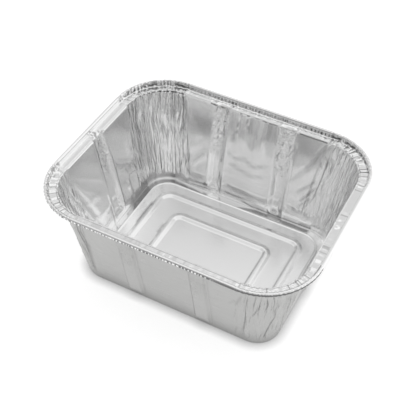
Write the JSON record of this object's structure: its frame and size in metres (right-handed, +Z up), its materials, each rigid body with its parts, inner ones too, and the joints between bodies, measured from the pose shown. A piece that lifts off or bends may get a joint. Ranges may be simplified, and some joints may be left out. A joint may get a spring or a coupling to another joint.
{
  "type": "drip pan",
  "caption": "Disposable rectangular foil tray with tapered ribbed walls, a raised beaded floor, a flange and a rolled rim, which catches dripping fat and juices.",
  "frame": {"origin": "middle of the underside, on the surface that the pan stands on", "axes": "+X along the pan, +Y across it, +Z up out of its mouth"},
  "size_m": [0.15, 0.122, 0.0624],
  "materials": {
    "foil": "bright rolled foil, pressed, finely creased at the corners"
  },
  "bodies": {
    "root": {"drip_pan": "foil"}
  },
  "joints": []
}
